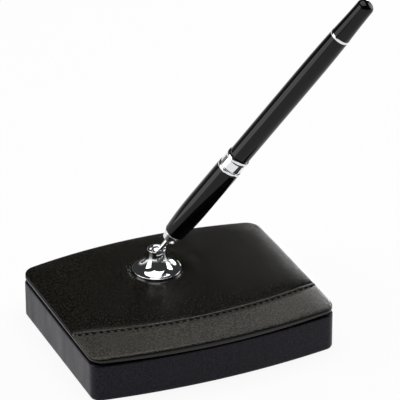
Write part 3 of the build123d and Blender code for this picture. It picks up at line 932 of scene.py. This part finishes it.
class PENSTAND_OT_stitches(bpy.types.Operator):
    """Model one stitch of twisted thread and copy it along the seam"""

    bl_idname = "penstand.stitches"
    bl_label = "Seam Stitches"

    def execute(self, context):
        seam = settings().seam
        stitch = self.model_stitch(seam)
        copies = []
        for place in self.places(seam):
            copy = stitch.copy()
            copy.data = stitch.data.copy()
            copy.data.transform(place)
            context.scene.collection.objects.link(copy)
            copies.append(copy)
        bpy.data.objects.remove(stitch)
        bpy.ops.object.select_all(action="DESELECT")
        for copy in copies:
            copy.select_set(True)
        context.view_layer.objects.active = copies[0]
        bpy.ops.object.join()
        piece = context.object
        piece.name = "stitches"
        material = fibrous(
            "waxed_polyester_thread", seam.thread_colour, fibre=0.15 * MM, depth=0.05 * MM, level=0.1
        )
        finish_piece(piece, material, "base", "thread", "seam_stitches")
        return {"FINISHED"}

    def model_stitch(self, seam):
        """A length of two-ply thread whose ends dive into the leather."""
        half = seam.stitch / 2
        cuts = 11
        turn_length = 2.2 * MM
        ply_depth = 0.14
        pressed_wide = 1.35
        taper = 0.4
        dive = 0.55 * seam.thread
        piece = start_piece(
            "stitch", bpy.ops.mesh.primitive_cylinder_add,
            vertices=12, radius=seam.thread / 2, depth=seam.stitch, rotation=(0, math.pi / 2, 0),
        )
        bpy.ops.object.transform_apply(location=False, rotation=True, scale=False)
        for cut in range(1, cuts):
            start_edit(piece, selected=True)
            bpy.ops.mesh.bisect(plane_co=(-half + seam.stitch * cut / cuts, 0, 0), plane_no=(1, 0, 0))
        end_edit()
        twist = 2 * math.pi / turn_length
        for vertex in piece.data.vertices:
            end_share = (vertex.co.x / half) ** 4
            angle = math.atan2(vertex.co.z, vertex.co.y)
            ply = 1 + ply_depth * math.cos(2 * (angle - twist * vertex.co.x))
            vertex.co.y *= pressed_wide * ply * (1 - taper * end_share)
            vertex.co.z = vertex.co.z * ply * (1 - taper * end_share) - dive * end_share
        close_faces(piece)
        return piece

    def places(self, seam):
        """Where each stitch lies, along an arc in front of the hem."""
        panel = settings().panel
        rise = 0.18 * seam.thread
        line = seam.radius + seam.hem_width + seam.stitch_offset
        end = panel.length / 2 - panel.roll - seam.stitch
        first = math.asin((-end - seam.middle_x) / line)
        last = math.asin((end - seam.middle_x) / line)
        count = int((last - first) * line / seam.pitch)
        for index in range(count + 1):
            angle = first + (last - first) * index / count
            x = seam.middle_x + line * math.sin(angle)
            y = seam.front_y + seam.radius - line * math.cos(angle)
            z = crown_height(x, y) - seam.stitch_dip + rise
            yield Matrix.Translation((x, y, z)) @ Matrix.Rotation(angle, 4, "Z")


# The wrapped box


class PENSTAND_OT_box_leather(bpy.types.Operator):
    """Model the leather wrapped round the box and turned in over its rims"""

    bl_idname = "penstand.box_leather"
    bl_label = "Box Leather"

    def execute(self, context):
        box = settings().box
        steps = 5
        rows = 12
        top = box_high.z - box.rim
        low = box_low.z + box.under
        profile = [(box.rim_turn_in, box_high.z), (box.rim_turn_in / 2, box_high.z), (box.rim, box_high.z)]
        profile += [(box.rim - across, box_high.z - down) for across, down in quarter_round(box.rim, steps)]
        profile += [(0.0, top + (low - top) * row / rows) for row in range(1, rows + 1)]
        lower = quarter_round(box.under, steps)[:-1]
        profile += [(box.under - across, box_low.z + down) for across, down in reversed(lower)]
        turned_under = (box.under, box.under_turn_in / 2, box.under_turn_in)
        profile += [(inset, box_low.z) for inset in turned_under]
        piece = plan_loft("box_leather", box_plan(), profile)
        close_faces(piece)
        thicken(piece, box.leather)
        material = leather(
            "bonded_leather_wrap", box.colour, grain=1.3 * MM, depth=0.06 * MM,
            roughness=0.31, level=0.16, contrast=4.0, uneven=0.09,
            tint=linear(box.tint), stretch=(1, 1, 0.2),
        )
        finish_piece(piece, material, "base", "side_leather", "side_leather")
        return {"FINISHED"}


class PENSTAND_OT_felt(bpy.types.Operator):
    """Model the felt under the base, with a soft cut edge"""

    bl_idname = "penstand.felt"
    bl_label = "Base Felt"

    def execute(self, context):
        box = settings().box
        soft = 0.15 * MM
        inner = box.felt_inset + 20 * MM
        profile = [
            (inner, felt_low.z),
            (box.felt_inset + soft, felt_low.z),
            (box.felt_inset, felt_low.z + soft),
            (box.felt_inset, felt_high.z),
            (inner, felt_high.z),
        ]
        piece = plan_loft("felt_sheet", box_plan(), profile)
        fill_rims(piece)
        close_faces(piece)
        material = fibrous("pressed_wool_felt", box.felt_colour, fibre=0.5 * MM, depth=0.2 * MM)
        finish_piece(piece, material, "base", "felt", "base_felt")
        return {"FINISHED"}


# Pieces that keep their shape from the frame


class PENSTAND_OT_base_inside(bpy.types.Operator):
    """Finish the boards, the core and the stud inside the base"""

    bl_idname = "penstand.base_inside"
    bl_label = "Boards and Stud"

    def execute(self, context):
        finish = settings().finish
        beech = fibrous("beech_core", finish.wood, fibre=1.5 * MM, depth=0.1 * MM, stretch=(0.08, 1, 1))
        board = fibrous(
            "black_greyboard", finish.board, fibre=0.6 * MM, depth=0.05 * MM, stretch=(1, 1, 0.3)
        )
        zinc = bare_metal("zinc_plated_steel", finish.steel, groove=0.4 * MM, roughness=0.32)
        paint(beech, "base_core")
        paint(board, "reveal_board", "panel_board")
        paint(zinc, "mounting_stud", "stud_washer", "stud_nut", "friction_spring")
        return {"FINISHED"}


class PENSTAND_OT_swivel(bpy.types.Operator):
    """Finish the swivel: chromed bell, ball and ferrule, and the nylon cup"""

    bl_idname = "penstand.swivel"
    bl_label = "Swivel"

    def execute(self, context):
        paint(chrome_plate(), "swivel_bell", "ball_stem", "socket_ferrule")
        paint(moulded_plastic("moulded_nylon", settings().finish.nylon, roughness=0.4), "friction_cup")
        return {"FINISHED"}


class PENSTAND_OT_socket(bpy.types.Operator):
    """Finish the pen's socket: lacquered shell, plastic liner and chromed rings"""

    bl_idname = "penstand.socket"
    bl_label = "Pen Socket"

    def execute(self, context):
        paint(gloss_lacquer(), "socket_shell")
        paint(chrome_plate(), "trim_ring", "mouth_band")
        plastic = moulded_plastic("polypropylene_liner", settings().finish.liner, roughness=0.45)
        paint(plastic, "socket_liner")
        return {"FINISHED"}


class PENSTAND_OT_pen(bpy.types.Operator):
    """Finish the pen: lacquered barrel and tail, chromed rings and nose, and the refill"""

    bl_idname = "penstand.pen"
    bl_label = "Pen"

    def execute(self, context):
        finish = settings().finish
        paint(gloss_lacquer(), "pen_barrel", "tail_cap", "pen_grip")
        paint(chrome_plate(), "tail_ring", "grip_ring", "nose_cone")
        brass = bare_metal("turned_brass", finish.brass, groove=0.3 * MM, roughness=0.28)
        steel = bare_metal("drawn_steel_tube", finish.steel, groove=0.5 * MM, roughness=0.3)
        paint(brass, "barrel_bush", "refill_tip")
        paint(steel, "refill_body", "refill_spring")
        paint(moulded_plastic("refill_plug_plastic", finish.liner, roughness=0.4), "refill_plug")
        return {"FINISHED"}


# Stage


class PENSTAND_OT_stage(bpy.types.Operator):
    """Lay the floor, hang the lamps and place the camera"""

    bl_idname = "penstand.stage"
    bl_label = "Studio"

    def execute(self, context):
        studio = settings().studio
        context.scene.view_settings.view_transform = "Standard"
        self.lay_floor(studio)
        self.light_world(context, studio)
        self.hang_lamp("overhead_softbox", place=(0.0, 0.1, 1.3), width=1.4, height=1.4, power=15.0)
        self.hang_lamp("left_softbox", place=(-1.35, 0.25, 0.42), width=1.1, height=1.1, power=9.5)
        self.hang_lamp("right_softbox", place=(1.3, 0.1, 0.5), width=0.8, height=0.9, power=7.0)
        self.hang_lamp("back_softbox", place=(0.88, 1.21, 0.19), width=0.36, height=0.18, power=5.0)
        self.place_camera(context, studio)
        return {"FINISHED"}

    def lay_floor(self, studio):
        """White paper that keeps the shadow, and that the camera and reflections see as plain white."""
        floor = start_piece("studio_floor", bpy.ops.mesh.primitive_plane_add, size=studio.floor_size)
        material = bpy.data.materials.new("white_paper_sweep")
        add = clear_nodes(material)
        seen = add("LightPath")
        mirrored = add(
            "Math",
            {0: seen.outputs["Is Glossy Ray"], 1: seen.outputs["Is Transmission Ray"]}, operation="MAXIMUM",
        )
        bright = add(
            "Math",
            {0: seen.outputs["Is Camera Ray"], 1: mirrored.outputs["Value"]}, operation="MAXIMUM",
        )
        share = add("Math", {0: bright.outputs["Value"], 1: studio.floor_glow}, operation="MULTIPLY")
        paper = add("BsdfDiffuse", {"Color": linear(studio.floor_colour)})
        glow = add("Emission", {"Color": WHITE, "Strength": 1.0})
        mix = add(
            "MixShader",
            {0: share.outputs["Value"], 1: paper.outputs["BSDF"], 2: glow.outputs["Emission"]},
        )
        add("OutputMaterial", {"Surface": mix.outputs["Shader"]})
        floor.data.materials.append(material)

    def light_world(self, context, studio):
        """A dim room with a low grey glow along the horizon."""
        world = bpy.data.worlds.new("dim_studio")
        context.scene.world = world
        add = clear_nodes(world)
        direction = add("TexCoord").outputs["Generated"]
        parts = add("SeparateXYZ", {"Vector": direction})
        height = {"Value": parts.outputs["Z"], "From Min": 0.0, "From Max": studio.glow_top}
        glow = {"To Min": studio.horizon, "To Max": studio.room}
        level = add("MapRange", height | glow, interpolation_type="SMOOTHSTEP")
        room = add("Background", {"Color": WHITE, "Strength": level.outputs["Result"]})
        add("OutputWorld", {"Surface": room.outputs["Background"]})

    def hang_lamp(self, name, place, width, height, power):
        lamp = bpy.data.lights.new(name, "AREA")
        lamp.shape = "RECTANGLE"
        lamp.size = width
        lamp.size_y = height
        lamp.energy = power
        holder = bpy.data.objects.new(name, lamp)
        holder.location = place
        holder.rotation_mode = "QUATERNION"
        way = Vector(settings().studio.lamp_aim) - Vector(place)
        holder.rotation_quaternion = way.to_track_quat("-Z", "Y")
        bpy.context.scene.collection.objects.link(holder)

    def place_camera(self, context, studio):
        level = math.cos(studio.elevation)
        back = Vector((
            math.sin(studio.azimuth) * level, -math.cos(studio.azimuth) * level, math.sin(studio.elevation)
        ))
        lens = bpy.data.cameras.new("photo_camera")
        lens.sensor_width = studio.sensor
        lens.lens = studio.lens
        lens.clip_start = 0.05
        lens.clip_end = 100.0
        camera = bpy.data.objects.new("photo_camera", lens)
        camera.location = Vector(studio.aim) + back * studio.distance
        camera.rotation_mode = "QUATERNION"
        camera.rotation_quaternion = (-back).to_track_quat("-Z", "Y") @ Quaternion((0, 0, 1), studio.roll)
        context.scene.collection.objects.link(camera)
        context.scene.camera = camera


PIECES = (
    PENSTAND_OT_felt,
    PENSTAND_OT_box_leather,
    PENSTAND_OT_base_inside,
    PENSTAND_OT_padding,
    PENSTAND_OT_main_leather,
    PENSTAND_OT_front_strip,
    PENSTAND_OT_stitches,
    PENSTAND_OT_swivel,
    PENSTAND_OT_socket,
    PENSTAND_OT_pen,
    PENSTAND_OT_stage,
)


class PENSTAND_PT_sidebar(bpy.types.Panel):
    """Lists the pieces of the pen stand"""

    bl_idname = "PENSTAND_PT_sidebar"
    bl_label = "Pen Stand"
    bl_space_type = "VIEW_3D"
    bl_region_type = "UI"
    bl_category = "Pen Stand"

    def draw(self, context):
        for piece in PIECES:
            self.layout.operator(piece.bl_idname)


GROUPS = (PenStandPanel, PenStandSeam, PenStandBox, PenStandFinish, PenStandStudio, PenStandSettings)
CLASSES = GROUPS + PIECES + (PENSTAND_PT_sidebar,)


def register():
    for entry in CLASSES:
        bpy.utils.register_class(entry)
    bpy.types.Scene.pen_stand = PointerProperty(type=PenStandSettings)


def unregister():
    del bpy.types.Scene.pen_stand
    for entry in reversed(CLASSES):
        bpy.utils.unregister_class(entry)


def main():
    register()
    for piece in PIECES:
        group, name = piece.bl_idname.split(".")
        getattr(getattr(bpy.ops, group), name)()


if __name__ == "__main__":
    main()
